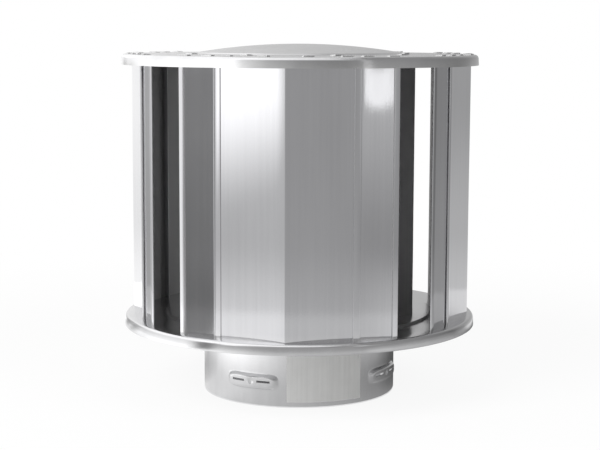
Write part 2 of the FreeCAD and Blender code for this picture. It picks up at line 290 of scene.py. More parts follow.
def seenRays(tree):
    # 1 for what the camera sees, also in mirror images and through glass
    path = addNode(tree, "ShaderNodeLightPath").outputs
    seen = maths(tree, "ADD", path["Is Camera Ray"], path["Is Glossy Ray"])
    return maths(tree, "ADD", seen, path["Is Transmission Ray"], clamp=True)


def newFinish(name):
    # an empty material: itself, its tree and the object's own coordinates
    finish = bpy.data.materials.new(name)
    finish.use_nodes = True
    tree = finish.node_tree
    tree.nodes.clear()
    return finish, tree, addNode(tree, "ShaderNodeTexCoord").outputs["Object"]


# floor, world and lamps
studio = {
    "floorSize": 3.0,
    "floorColor": (0.86, 0.86, 0.86, 1),
    "floorWhite": 0.90,  # share of plain white, so that the shadow stays faint
    "floorFade": (0.22, 0.60),  # m from the axis, where that share grows to 1
    "worldStrength": 0.55,  # the light that the world gives, the seen background is 1
    "lampAim": (0, 0, 0.1),
}
lamps = {
    "keyLamp": {"azimuth": -42, "distance": 1.25, "height": 1.05, "size": 0.9, "power": 17},
    "fillLamp": {"azimuth": 50, "distance": 1.35, "height": 0.85, "size": 1.0, "power": 8},
}


def placeFloor(setup):
    size = setup["floorSize"]
    corners = [(-size, -size, 0), (size, -size, 0), (size, size, 0), (-size, size, 0)]
    floor = newObject("paleFloor", meshFrom(corners, [(0, 1, 2, 3)]))
    finish, tree, place = newFinish("paleFloor")
    fade = ranged(tree, lengthOf(tree, place), setup["floorFade"], (setup["floorWhite"], 1.0),
                  smooth=True)
    share = maths(tree, "MULTIPLY", seenRays(tree), fade)
    diffuse = nodeOut(tree, "ShaderNodeBsdfDiffuse", {"Color": setup["floorColor"]})
    white = nodeOut(tree, "ShaderNodeEmission", {"Strength": 1.0})
    surface = nodeOut(tree, "ShaderNodeMixShader", {0: share, 1: diffuse, 2: white})
    addNode(tree, "ShaderNodeOutputMaterial", {"Surface": surface})
    floor.data.materials.append(finish)


def makeWorld(setup):
    world = bpy.data.worlds.new("studioWorld")
    bpy.context.scene.world = world
    world.use_nodes = True
    tree = world.node_tree
    tree.nodes.clear()
    strength = ranged(tree, seenRays(tree), (0.0, 1.0), (setup["worldStrength"], 1.0))
    light = addNode(tree, "ShaderNodeBackground", {"Color": (1, 1, 1, 1), "Strength": strength})
    addNode(tree, "ShaderNodeOutputWorld", {"Surface": light.outputs[0]})


def placeLamps(settings, aim):
    for name, lamp in settings.items():
        data = bpy.data.lights.new(name, "AREA")
        data.shape = "SQUARE"
        data.size = lamp["size"]
        data.energy = lamp["power"]
        item = newObject(name, data)
        spot = outward(lamp["azimuth"]) * lamp["distance"] + Vector((0, 0, lamp["height"]))
        item.location = spot
        item.rotation_euler = (Vector(aim) - spot).to_track_quat("-Z", "Y").to_euler()
        item.visible_camera = False
        item.visible_glossy = False


# the reflector tent, which only the metal's mirror images see
tent = {
    "radius": 0.42, "inner": 0.0584, "height": 1.30, "sides": 96,
    "floor": 0.0006,  # m, just above the real floor
    "wallFoot": 0.0008,  # m, what is higher belongs to the wall
    "apronReach": (0.10, 0.22),  # m from the axis, where the floor's second value takes over
    "outerReach": (0.24, 0.32),  # m from the axis, where the wall's foot takes over
    "floorGain": 1.3,  # the floor's outer part is brighter than the wall's foot
    "wallReach": ((0.004, 0.055), (0.055, 0.165), (0.186, 0.235), (0.27, 0.50)),
    "windowEnd": 0.0015,  # m, over which a window ends upwards
    "lineReach": (0.004, 0.001),  # m from a window's edge, where its line fades in
    "lineShare": 0.8,
    "gain": 2.0,  # the levels go through the ramps divided by this, so none passes 1
}
tentStops = {
    # azimuth: brightness at the wall's foot, lower part, upper part, above the cap and crown
    -180: (1.0, 0.72, 0.66, 0.62, 0.7),
    -158: (1.08, 0.92, 0.95, 0.9, 0.8),
    -150: (1.05, 0.9, 1.05, 1.2, 1.2),
    -141: (1.0, 0.88, 0.95, 1.25, 1.25),
    -138.5: (0.4, 0.38, 0.44, 1.25, 1.3),
    -131: (0.4, 0.37, 0.44, 1.3, 1.3),
    -128: (0.75, 0.7, 0.75, 1.3, 1.3),
    -122: (0.44, 0.42, 0.46, 1.3, 1.3),
    -117: (0.6, 0.55, 0.6, 1.3, 1.3),
    -112: (1.0, 0.9, 0.92, 1.32, 1.3),
    -66: (1.15, 1.05, 1.05, 1.35, 1.3),
    -61: (0.8, 0.7, 1.0, 1.35, 1.3),
    -57.5: (0.17, 0.2, 0.25, 1.35, 1.3),
    -50: (0.17, 0.2, 0.25, 1.35, 1.3),
    -46.5: (0.73, 0.54, 0.66, 1.32, 1.3),
    -36: (0.73, 0.54, 0.66, 1.12, 1.3),
    -29: (0.66, 0.46, 0.56, 0.8, 1.3),
    -19: (0.5, 0.4, 0.42, 0.55, 1.3),
    0: (0.48, 0.39, 0.39, 0.34, 1.1),
    24: (0.45, 0.37, 0.35, 0.25, 0.9),
    31: (0.44, 0.34, 0.38, 0.29, 0.5),
    35: (0.44, 0.33, 0.5, 0.31, 0.34),
    39.5: (0.54, 0.33, 0.5, 0.33, 0.32),
    47: (0.56, 0.33, 0.36, 0.33, 0.32),
    98: (0.32, 0.24, 0.2, 0.24, 0.3),
    105: (0.24, 0.16, 0.14, 0.24, 0.3),
    113: (0.31, 0.28, 0.22, 0.25, 0.3),
    121: (0.34, 0.31, 0.28, 0.28, 0.3),
    126: (0.58, 0.48, 0.38, 0.32, 0.32),
    134: (0.62, 0.5, 0.38, 0.36, 0.36),
    150: (0.55, 0.5, 0.46, 0.44, 0.5),
    180: (0.8, 0.68, 0.64, 0.62, 0.7),
}
floorStops = {
    # azimuth: brightness of the floor beside the collar and further out
    -180: (1.3, 1.3),
    -150: (0.9, 1.05),
    -122: (0.5, 0.9),
    -100: (0.64, 1.25),
    -88: (0.84, 1.6),
    -56: (0.86, 1.55),
    -38: (0.72, 1.2),
    -23: (0.64, 0.92),
    0: (0.54, 0.62),
    30: (0.42, 0.48),
    70: (0.28, 0.54),
    86: (0.19, 0.54),
    98: (0.15, 0.48),
    110: (0.11, 0.36),
    122: (0.09, 0.2),
    136: (0.1, 0.18),
    180: (0.08, 0.12),
}
tentWindows = (
    # half: half the width in degrees, slant: rise of the lower edge in m for each radian,
    # squash: of its height, edge: brightness added along its edge
    {"azimuth": -39.6, "half": 4.9, "low": 0.1300, "slant": 0.17, "high": 2.0, "squash": 0.5,
     "corner": 0.022, "soft": 0.025, "bright": 1.45, "edge": 0.0},
    {"azimuth": 37.15, "half": 1.35, "low": 0.1605, "slant": 0.0, "high": 0.1885, "squash": 1.0,
     "corner": 0.010, "soft": 0.002, "bright": 1.12, "edge": 0.40},
)


def tentMesh(size):
    sides = size["sides"]
    vertices = []
    for radius, z in ((size["inner"], size["floor"]), (size["radius"], size["floor"]),
                      (size["radius"], size["height"])):
        for k in range(sides):
            turn = 2 * math.pi * k / sides
            vertices.append((radius * math.sin(turn), -radius * math.cos(turn), z))
    faces = [(k + row, k + row + sides, (k + 1) % sides + row + sides, (k + 1) % sides + row)
             for row in (0, sides) for k in range(sides)]
    return meshFrom(vertices, faces)


def tentLevels(tree, share, stops, gain):
    # one ramp round the axis for each column of a table
    levels = []
    for column in zip(*stops.values()):
        line = ramp(tree, share, [((azimuth + 180) / 360, [level / gain] * 3)
                                  for azimuth, level in zip(stops, column)])
        levels.append(nodeOut(tree, "ShaderNodeSeparateColor", {0: line}))
    return levels


def tentWindow(tree, turn, height, window, size):
    # a window with rounded lower corners: its mask, and the mask of the line along its edge
    corner, soft, high, radius = window["corner"], window["soft"], window["high"], size["radius"]
    aside = maths(tree, "SUBTRACT", turn, math.radians(window["azimuth"]))
    across = maths(tree, "MULTIPLY_ADD", maths(tree, "ABSOLUTE", aside), radius,
                   corner - math.radians(window["half"]) * radius)
    lower = maths(tree, "MULTIPLY_ADD", aside, window["slant"], window["low"])
    below = maths(tree, "MULTIPLY_ADD", maths(tree, "SUBTRACT", lower, height),
                  window["squash"], corner)
    reach = combined(tree, x=maths(tree, "MAXIMUM", across, 0.0),
                     y=maths(tree, "MAXIMUM", below, 0.0))
    gap = maths(tree, "SUBTRACT", lengthOf(tree, reach), corner)
    mask = maths(tree, "MULTIPLY", ranged(tree, gap, (soft, -soft), smooth=True),
                 ranged(tree, height, (high + size["windowEnd"], high)))
    return mask, ranged(tree, maths(tree, "ABSOLUTE", gap), size["lineReach"])


def placeTent(size):
    reflector = newObject("reflectorTent", tentMesh(size))
    finish, tree, place = newFinish("reflectorTent")
    x, y, z = addNode(tree, "ShaderNodeSeparateXYZ", {0: place}).outputs
    gain = size["gain"]
    turn = maths(tree, "ARCTAN2", x, maths(tree, "MULTIPLY", y, -1.0))
    share = maths(tree, "MULTIPLY_ADD", turn, 0.5 / math.pi, 0.5)
    foot, *upper = tentLevels(tree, share, tentStops, gain)
    floor, apron = tentLevels(tree, share, floorStops, gain)
    outer = maths(tree, "MULTIPLY", foot, size["floorGain"])
    far = lengthOf(tree, combined(tree, x=x, y=y))
    for reach, level in ((size["apronReach"], apron), (size["outerReach"], outer)):
        floor = mixed(tree, ranged(tree, far, reach, smooth=True), floor, level)
    wall = foot
    for reach, level in zip(size["wallReach"], upper):
        wall = mixed(tree, ranged(tree, z, reach, smooth=True), wall, level)
    for window in tentWindows:
        mask, line = tentWindow(tree, turn, z, window, size)
        wall = mixed(tree, mask, wall, window["bright"] / gain)
        if window["edge"]:
            wall = mixed(tree, maths(tree, "MULTIPLY", line, size["lineShare"]), wall,
                         (window["bright"] + window["edge"]) / gain)
    upright = maths(tree, "GREATER_THAN", z, size["wallFoot"])
    light = nodeOut(tree, "ShaderNodeEmission", {
        "Color": mixed(tree, upright, floor, wall), "Strength": gain})
    addNode(tree, "ShaderNodeOutputMaterial", {"Surface": light})
    reflector.data.materials.append(finish)
    for ray in ("camera", "diffuse", "shadow", "transmission", "volume_scatter"):
        setattr(reflector, "visible_" + ray, False)


placeFloor(studio)
makeWorld(studio)
placeLamps(lamps, studio["lampAim"])
placeTent(tent)
print("floor, world, lamps and reflector placed")


# shader groups
def newGroup(name, inputs, outputs):
    group = bpy.data.node_groups.new(name, "ShaderNodeTree")
    for label, kind, default in inputs:
        socket = group.interface.new_socket(label, in_out="INPUT", socket_type="NodeSocket" + kind)
        if default is not None:
            socket.default_value = default
    for label in outputs:
        group.interface.new_socket(label, in_out="OUTPUT", socket_type="NodeSocketFloat")
    start = group.nodes.new("NodeGroupInput")
    finish = group.nodes.new("NodeGroupOutput")
    return group, start.outputs, finish.inputs


def noise(tree, vector, scale, detail, roughness=0.5):
    return nodeOut(tree, "ShaderNodeTexNoise", {
        "Vector": vector, "Scale": scale, "Detail": detail, "Roughness": roughness})


def rolledGrain():
    # long faint marks of the rolling, soft cloudy tone and fine speckle
    group, given, result = newGroup("rolledGrain", [
        ("Vector", "Vector", None),
        ("Streak size", "Float", 900.0),
        ("Cloud size", "Float", 28.0),
        ("Speckle size", "Float", 1400.0),
        ("Stretch", "Vector", (1.0, 1.0, 0.03)),
    ], ("Tone", "Rough", "Height"))
    stretched = nodeOut(group, "ShaderNodeMapping", {
        "Vector": given["Vector"], "Scale": given["Stretch"]})
    streak = noise(group, stretched, given["Streak size"], 3.0, 0.6)
    cloud = noise(group, given["Vector"], given["Cloud size"], 4.0, 0.55)
    speckle = noise(group, given["Vector"], given["Speckle size"], 1.0)
    blends = (("Tone", streak, 0.55, cloud), ("Rough", cloud, 0.6, streak),
              ("Height", streak, 0.7, speckle))
    for label, first, share, second in blends:
        rest = maths(group, "MULTIPLY", second, 1 - share)
        feed(group, result[label], maths(group, "MULTIPLY_ADD", first, share, rest))
    return group


def edgeShine():
    # edges rubbed bright by handling
    group, given, result = newGroup("edgeShine", [
        ("Vector", "Vector", None),
        ("Start", "Float", 0.53),
        ("End", "Float", 0.60),
        ("Patch size", "Float", 160.0),
        ("Least", "Float", 0.3),
    ], ("Mask",))
    point = addNode(group, "ShaderNodeNewGeometry").outputs["Pointiness"]
    edge = ranged(group, point, (given["Start"], given["End"]))
    patchy = noise(group, given["Vector"], given["Patch size"], 3.0)
    patchy = maths(group, "ADD", patchy, given["Least"])
    feed(group, result["Mask"], maths(group, "MULTIPLY", edge, patchy, clamp=True))
    return group


def settledDust():
    # a thin film on faces that look up
    group, given, result = newGroup("settledDust", [
        ("Vector", "Vector", None),
        ("Amount", "Float", 0.3),
        ("Patch size", "Float", 45.0),
        ("Upward from", "Float", 0.5),
    ], ("Mask",))
    normal = addNode(group, "ShaderNodeNewGeometry").outputs["Normal"]
    up = addNode(group, "ShaderNodeSeparateXYZ", {0: normal}).outputs[2]
    facing = ranged(group, up, (given["Upward from"], 1.0))
    patchy = noise(group, given["Vector"], given["Patch size"], 5.0)
    film = maths(group, "MULTIPLY", facing, patchy)
    feed(group, result["Mask"], maths(group, "MULTIPLY", film, given["Amount"], clamp=True))
    return group


grainGroup = rolledGrain()
shineGroup = edgeShine()
dustGroup = settledDust()
print("shader groups made")


# materials
finishes = {
    "plateSteel": {
        "dark": (0.70, 0.70, 0.71), "light": (0.78, 0.78, 0.79), "rough": (0.12, 0.20),
        "streak": 60, "cloud": 26, "stretch": (1, 1, 1), "bump": 0.02, "dust": 0.25},
    "louverSteel": {
        "dark": (0.74, 0.74, 0.76), "light": (0.79, 0.79, 0.81), "rough": (0.06, 0.11),
        "streak": 330, "cloud": 18, "stretch": (1, 1, 0.02), "bump": 0.015, "inner": 0.55,
        # inner faces: painted shade on the vanes', painted light on the shields'
        "innerShadeTones": (0.72, 0.95)},
    # painted shade: the tabs are coloured dark, standing for the shade in and round their slots
    "shadedTabSteel": {
        "dark": (0.34, 0.34, 0.35), "light": (0.50, 0.50, 0.51), "rough": (0.38, 0.55),
        "streak": 330, "cloud": 60, "stretch": (1, 1, 1), "bump": 0.05},
    # painted light: the baffles are coloured paler than the louvers, to make up for the shade
    # inside the cap
    "brightenedBaffleSteel": {
        "dark": (0.80, 0.80, 0.81), "light": (0.88, 0.88, 0.89), "rough": (0.36, 0.46),
        "streak": 330, "cloud": 22, "stretch": (1, 1, 0.02), "bump": 0.03, "inner": 0.55},
    "collarSteel": {
        "dark": (0.72, 0.72, 0.73), "light": (0.80, 0.80, 0.81), "rough": (0.14, 0.22),
        "streak": 120, "cloud": 40, "stretch": (1, 1, 0.2), "bump": 0.03, "inner": 0.45,
        # strength of the painted shade under the base plate
        "underPlateShade": 0.55},
    "flueAluminium": {
        "dark": (0.46, 0.46, 0.47), "light": (0.56, 0.56, 0.57), "rough": (0.32, 0.44),
        "streak": 150, "cloud": 30, "stretch": (1, 1, 0.2), "bump": 0.03},
    "rivetSteel": {
        "dark": (0.62, 0.62, 0.64), "light": (0.74, 0.74, 0.76), "rough": (0.25, 0.38),
        "streak": 900, "cloud": 90, "stretch": (1, 1, 1), "bump": 0.03},
}
foil = {
    "dark": (0.80, 0.80, 0.79), "light": (0.90, 0.90, 0.89), "rough": (0.38, 0.52),
    "streak": 500, "cloud": 60, "bump": 0.12, "metallic": 0.75,
}
wear = {
    "toneLimits": (0.35, 0.65),  # between which the grain's noise goes from dark to light
    "roughLimits": (0.3, 0.7),
    "insideLimits": (0.012, -0.012),  # m outwards along the normal, less than 0 looks inwards
    "stainLimits": (-0.0975, -0.0995),  # m, from the vanes' inner sides to the shields', over which the painted shade turns to painted light
    "underPlateShadeLimits": (0.034, 0.041),  # m above the collar's edge, over which the painted shade under the base plate grows
    "rubbedColor": (0.9, 0.9, 0.9, 1),
    # colour of the painted shade under the base plate
    "underPlateShadeColor": (0.16, 0.16, 0.16, 1),
    "dustColor": (0.52, 0.51, 0.50, 1),
    "dustRough": 0.5,
    "bumpDepth": 0.001,  # m
}


def groupOn(tree, group, place, values):
    # a shader group in a material, read at the object's own coordinates
    return addNode(tree, "ShaderNodeGroup", {"Vector": place, **values}, node_tree=group).outputs


def closeFinish(tree, grain, color, rough, bump, metallic):
    normal = nodeOut(tree, "ShaderNodeBump", {
        "Strength": bump, "Distance": wear["bumpDepth"], "Height": grain["Height"]})
    surface = addNode(tree, "ShaderNodeBsdfPrincipled", {
        "Base Color": color, "Roughness": rough, "Metallic": metallic, "Normal": normal})
    addNode(tree, "ShaderNodeOutputMaterial", {"Surface": surface.outputs[0]})


def sheetMetal(name, look):
    finish, tree, place = newFinish(name)
    grain = groupOn(tree, grainGroup, place, {
        "Streak size": look["streak"], "Cloud size": look["cloud"], "Stretch": look["stretch"]})
    tone = ranged(tree, grain["Tone"], wear["toneLimits"])
    color = mixedColor(tree, tone, (*look["dark"], 1), (*look["light"], 1))
    rubbed = groupOn(tree, shineGroup, place, {})["Mask"]
    color = mixedColor(tree, rubbed, color, wear["rubbedColor"])
    rough = ranged(tree, grain["Rough"], wear["roughLimits"], look["rough"])
    if "inner" in look:
        # the faces that look into the cap are left dull
        normal = addNode(tree, "ShaderNodeNewGeometry").outputs["Normal"]
        facing = addNode(tree, "ShaderNodeVectorMath", {0: normal, 1: place},
                         operation="DOT_PRODUCT").outputs["Value"]
        inside = ranged(tree, facing, wear["insideLimits"])
        rough = mixed(tree, inside, rough, look["inner"])
    if "innerShadeTones" in look:
        # painted light and shade: the vanes' inner sides, nearer to the axis, are coloured darker
        # and the shields' inner sides lighter, for the light inside the cap
        stain = ranged(tree, facing, wear["stainLimits"], look["innerShadeTones"])
        color = mixedColor(tree, inside, color, stain)
    if "underPlateShade" in look:
        # painted shade: darker towards the joint, standing for the shadow that the base plate
        # casts on the collar's top
        height = addNode(tree, "ShaderNodeSeparateXYZ", {0: place}).outputs[2]
        underPlateShadow = ranged(tree, height, wear["underPlateShadeLimits"], smooth=True)
        underPlateShadow = maths(tree, "MULTIPLY", underPlateShadow, look["underPlateShade"])
        color = mixedColor(tree, underPlateShadow, color, wear["underPlateShadeColor"])
    if "dust" in look:
        dust = groupOn(tree, dustGroup, place, {"Amount": look["dust"]})["Mask"]
        color = mixedColor(tree, dust, color, wear["dustColor"])
        rough = maths(tree, "MULTIPLY_ADD", dust, wear["dustRough"], rough)
    closeFinish(tree, grain, color, rough, look["bump"], 1.0)
    return finish


def foilFinish(look):
    finish, tree, place = newFinish("patchFoil")
    grain = groupOn(tree, grainGroup, place, {
        "Streak size": look["streak"], "Cloud size": look["cloud"]})
    color = ramp(tree, grain["Tone"], zip(wear["toneLimits"], (look["dark"], look["light"])))
    rough = ranged(tree, grain["Rough"], wear["roughLimits"], look["rough"])
    closeFinish(tree, grain, color, rough, look["bump"], look["metallic"])
    return finish


metals = {name: sheetMetal(name, look) for name, look in finishes.items()}
print("materials made:", ", ".join(metals))


# geometry node helpers
def newTree(name, inputs):
    tree = bpy.data.node_groups.new(name, "GeometryNodeTree")
    for kind, labels in {"Geometry": ("Geometry",), **inputs}.items():
        for label in labels:
            tree.interface.new_socket(label, in_out="INPUT", socket_type="NodeSocket" + kind)
    tree.interface.new_socket("Geometry", in_out="OUTPUT", socket_type="NodeSocketGeometry")
    start = tree.nodes.new("NodeGroupInput")
    finish = tree.nodes.new("NodeGroupOutput")
    return tree, start.outputs, finish.inputs


def closeTree(tree, geometry, material, target):
    whole = nodeOut(tree, "GeometryNodeRealizeInstances", {0: geometry})
    dressed = addNode(tree, "GeometryNodeSetMaterial", {"Geometry": whole, "Material": material})
    tree.links.new(dressed.outputs[0], target["Geometry"])


def grown(tree, mesh, values):
    # runs a tree on a mesh and gives the result as a plain mesh
    carrier, modifier = newCarrier(mesh, "NODES")
    modifier.node_group = tree
    names = {item.name: item.identifier for item in tree.interface.items_tree
             if item.item_type == "SOCKET" and item.in_out == "INPUT"}
    for label, value in values.items():
        modifier[names[label]] = value
    return plainMesh(carrier, modifier)


# louvers and baffles
def foldedSheetTree():
    # the section is carried up the height, and the sheet gets a slight unevenness
    tree, given, result = newTree("foldedSheet", {
        "Float": ("Foot", "Head", "Unevenness", "Wave size", "Seed"), "Int": ("Rows",),
        "Vector": ("Outward",), "Material": ("Finish",)})
    section = nodeOut(tree, "GeometryNodeMeshToCurve", {0: given["Geometry"]})
    line = addNode(tree, "GeometryNodeCurvePrimitiveLine", {
        "Start": combined(tree, z=given["Foot"]), "End": combined(tree, z=given["Head"])})
    rows = nodeOut(tree, "GeometryNodeResampleCurve", {
        "Curve": line.outputs[0], "Count": given["Rows"]})
    wall = nodeOut(tree, "GeometryNodeCurveToMesh", {
        "Curve": rows, "Profile Curve": section, "Fill Caps": True})
    wave = nodeOut(tree, "ShaderNodeTexNoise", {
        "W": given["Seed"], "Scale": given["Wave size"], "Detail": 1.0},
        noise_dimensions="4D")
    push = maths(tree, "MULTIPLY", maths(tree, "SUBTRACT", wave, 0.5), given["Unevenness"])
    offset = nodeOut(tree, "ShaderNodeVectorMath", {0: given["Outward"], "Scale": push},
                     operation="SCALE")
    moved = addNode(tree, "GeometryNodeSetPosition", {"Geometry": wall, "Offset": offset})
    closeTree(tree, moved.outputs[0], given["Finish"], result)
    return tree


sheetTree = foldedSheetTree()


def foldedSheet(name, node, outline, azimuth, size, seed):
    # outline: corners (to the right, outwards, radius) in mm, in the azimuth's own directions
    right, out = rightward(azimuth), outward(azimuth)
    points = [(right * x + out * y) * mm for x, y in divided(rounded(outline), size["spacing"])]
    count = len(points)
    section = meshFrom(points, edges=[(i, (i + 1) % count) for i in range(count)])
    finish = metals[size["finish"]]
    shape = grown(sheetTree, section, {
        "Foot": heights[size["standsOn"]] * mm, "Head": heights["head"] * mm,
        "Rows": size["rows"], "Outward": tuple(out), "Unevenness": size["unevenness"] * mm,
        "Wave size": size["waveSize"], "Seed": seed, "Finish": finish})
    newPiece(name, tidyMesh(shape, joinGap["grown"]), finish, (node,), 30)


shield = {
    "ridgeRadius": 102.1, "panelWidth": 42.6, "slope": 18.0, "hem": 4.2, "sheet": 0.6,
    "ridgeRound": 1.1, "hemRound": 0.5, "edgeRound": 0.2, "spacing": 5.0, "rows": 26,
    "unevenness": 0.3, "waveSize": 16.0, "seed": 3.0,
    "standsOn": "foot", "finish": "louverSteel", "slot": "louver_steel",
}


def shieldOutline(size):
    # a shallow V with its ridge outwards and hems on its inner side
    slope = math.radians(size["slope"])

    def onPanel(along, out, radius, side):
        return (side * (along * math.cos(slope) + out * math.sin(slope)),
                size["ridgeRadius"] - along * math.sin(slope) + out * math.cos(slope), radius)

    sheet, width, fold = size["sheet"], size["panelWidth"], size["hemRound"]
    hemStart = width - size["hem"]
    half = [(width, -sheet, fold), (width, sheet, fold), (hemStart, sheet, size["edgeRound"]),
            (hemStart, 0, 0)]
    right = [onPanel(a, o, r, 1) for a, o, r in half]
    left = [onPanel(a, o, r, -1) for a, o, r in reversed(half)]
    inner = (0, size["ridgeRadius"] - sheet / math.cos(slope), size["ridgeRound"] - sheet)
    return [inner] + right + [(0, size["ridgeRadius"], size["ridgeRound"])] + left


vane = {
    "angle": 23.0, "face": 96.9, "start": -0.4, "end": 25.14, "hem": 3.4, "hemRise": 0.2,
    "lip": 6.0, "lipAngle": 60.0, "sheet": 0.6, "lipRound": 1.2, "hemRound": 0.5,
    "edgeRound": 0.2, "spacing": 5.0, "rows": 26, "unevenness": 0.2, "waveSize": 18.0,
    "seed": 3.0, "handSeed": 3, "standsOn": "foot", "finish": "louverSteel",
    "slot": "louver_steel",
}


def vaneOutline(size, hand):
    # a flat face with a hem at its free side and a lip that turns inwards at the other
    sheet, start, end, edge = size["sheet"], size["start"], size["end"], size["edgeRound"]
    bend = math.radians(size["lipAngle"])
    lip, fold, rise = size["lip"], size["hemRound"], size["hemRise"]
    hemStart = end - size["hem"]
    corners = [
        (start, 0, size["lipRound"]),
        (hemStart, 0, 0),
        (hemStart, sheet + rise, edge),
        (end, sheet - rise, fold),
        (end, -sheet, fold),
        (start + sheet * math.tan(bend / 2), -sheet, size["lipRound"] - sheet),
        (start - lip * math.cos(bend) + sheet * math.sin(bend),
         -lip * math.sin(bend) - sheet * math.cos(bend), edge),
        (start - lip * math.cos(bend), -lip * math.sin(bend), edge),
    ]
    return [(hand * along, size["face"] + out, radius) for along, out, radius in corners]


baffle = {
    "face": 59.7, "half": 38.6, "lip": 4.0, "sheet": 0.6, "bend": 1.1, "edgeRound": 0.2,
    "spacing": 6.0, "rows": 24, "unevenness": 0.5, "waveSize": 14.0, "seed": 8.0,
    "standsOn": "middle", "finish": "brightenedBaffleSteel", "slot": "baffle_steel",
}


def baffleOutline(size):
    # a flat face with a short lip inwards at each side
    face, half, sheet = size["face"], size["half"], size["sheet"]
    bend, edge, lip = size["bend"], size["edgeRound"], size["face"] - size["lip"]
    return [
        (half, face, bend), (-half, face, bend), (-half, lip, edge), (sheet - half, lip, edge),
        (sheet - half, face - sheet, bend - sheet), (half - sheet, face - sheet, bend - sheet),
        (half - sheet, lip, edge), (half, lip, edge)]


def makeLouvers():
    for quarter, letter in enumerate(louverNames):
        turn = louverTurn + quarterTurn * quarter
        more = 10 * quarter
        foldedSheet("shield" + letter.upper(), "shield_" + letter, shieldOutline(shield), turn,
                    shield, shield["seed"] + more)
        for hand, side in ((1, "Right"), (-1, "Left")):
            foldedSheet("vane" + side + letter.upper(), "vane_" + side.lower() + "_" + letter,
                        vaneOutline(vane, hand), turn + hand * vane["angle"], vane,
                        vane["seed"] + more + vane["handSeed"] * hand)
        foldedSheet("baffle" + letter.upper(), "baffle_" + letter, baffleOutline(baffle),
                    turn + quarterTurn / 2, baffle, baffle["seed"] + more)


makeLouvers()
print("louvers and baffles folded")


# bent tabs
tabs = {
    "width": 6.0, "reach": 4.0, "sheet": 0.6, "depth": 0.6, "lift": 0.9, "spread": 0.8,
    "seed": 11, "shieldPlaces": (12.0, 33.6), "vanePlaces": (-7.5, 7.5), "vaneMiddle": 12.74,
    "bafflePlaces": (-25.8, 25.8), "slot": "louver_steel",
}


def bentTabTree():
    # one tab that rises from its slot and lies over, on each point
    tree, given, result = newTree("bentTabs", {
        "Float": ("Width", "Reach", "Sheet", "Depth"), "Material": ("Finish",)})
    half = maths(tree, "MULTIPLY", given["Sheet"], -0.5)
    rise = maths(tree, "MULTIPLY", given["Sheet"], 0.5)
    deep = maths(tree, "MULTIPLY", given["Depth"], -1.0)
    path = nodeOut(tree, "GeometryNodeCurvePrimitiveBezierSegment", {
        "Resolution": 9, "Start": combined(tree, x=half, z=deep),
        "Start Handle": combined(tree, x=half, z=rise),
        "End Handle": combined(tree, x=given["Sheet"], z=rise),
        "End": combined(tree, x=given["Reach"], z=rise)})
    strip = nodeOut(tree, "GeometryNodeCurvePrimitiveQuadrilateral", {
        "Width": given["Sheet"], "Height": given["Width"]})
    tab = nodeOut(tree, "GeometryNodeCurveToMesh", {
        "Curve": path, "Profile Curve": strip, "Fill Caps": True})
    aim = nodeOut(tree, "GeometryNodeInputNamedAttribute", {"Name": "aim"},
                  data_type="FLOAT_VECTOR")
    turn = nodeOut(tree, "FunctionNodeEulerToRotation", {0: aim})
    placed = nodeOut(tree, "GeometryNodeInstanceOnPoints", {
        "Points": given["Geometry"], "Instance": tab, "Rotation": turn})
    closeTree(tree, placed, given["Finish"], result)
    return tree


def tabPlaces(size):
    # where each tab leaves its plate, in m, and how it is turned
    places = []  # place in mm, azimuth, top face of the lower plate
    for quarter in range(len(louverNames)):
        turn = louverTurn + quarterTurn * quarter
        for side in (1, -1):
            azimuth = turn + side * shield["slope"]
            for along in size["shieldPlaces"]:
                spot = outward(turn) * shield["ridgeRadius"] + rightward(azimuth) * side * along
                places.append((spot, azimuth, heights["foot"]))
        for hand in (1, -1):
            azimuth = turn + hand * vane["angle"]
            for shift in size["vanePlaces"]:
                spot = (outward(azimuth) * vane["face"]
                        + rightward(azimuth) * hand * (size["vaneMiddle"] + shift))
                places.append((spot, azimuth, heights["foot"]))
        azimuth = turn + quarterTurn / 2
        for shift in size["bafflePlaces"]:
            spot = outward(azimuth) * baffle["face"] + rightward(azimuth) * shift
            places.append((spot, azimuth, heights["middle"]))
    chance = random.Random(size["seed"])
    points, aims = [], []
    for spot, azimuth, lower in places:
        turn = math.radians(azimuth - 90)
        for top in (True, False):
            height = heights["head"] + heights["sheet"] if top else lower - heights["sheet"]
            lift = math.radians(size["lift"] + chance.uniform(-1, 1) * size["spread"])
            points.append((spot.x * mm, spot.y * mm, height * mm))
            aims.append((0.0 if top else math.pi, -lift, turn))
    return points, aims


def makeTabs(size):
    points, aims = tabPlaces(size)
    mesh = meshFrom(points)
    attribute = mesh.attributes.new("aim", "FLOAT_VECTOR", "POINT")
    for item, aim in zip(attribute.data, aims):
        item.vector = aim
    finish = metals["shadedTabSteel"]
    shape = grown(bentTabTree(), mesh, {
        "Width": size["width"] * mm, "Reach": size["reach"] * mm, "Sheet": size["sheet"] * mm,
        "Depth": size["depth"] * mm, "Finish": finish})
    newPiece("bentTabs", tidyMesh(shape, joinGap["grown"]), finish, ())
    return len(points)


print("tabs bent:", makeTabs(tabs))


# plates
topPlate = {
    "radius": 106.69, "top": 202.7, "sheet": 0.6, "rim": 6.1, "flare": 0.45, "corner": 2.2,
    "rimRound": 0.25, "domeFoot": 60.95, "domeStep": 1.2, "domeRun": 0.6, "domeBend": 2.5,
    "apex": 208.8, "domeRings": 14, "arcSteps": 7, "spacing": 9, "steps": 192,
    "slot": "plate_steel",
}
basePlate = {
    "radius": 105.99, "top": 47.1, "sheet": 0.6, "rim": 6.1, "flare": 0.35, "corner": 2.2,
    "rimRound": 0.25, "stepRadius": 80.16, "stepTop": 48.6, "stepRun": 0.8, "stepBend": 0.7,
    "underShift": 0.2, "underBend": 0.6, "hole": 51.7, "holeRound": 0.15, "arcSteps": 5,
    "spacing": 9, "steps": 192, "slot": "plate_steel",
}


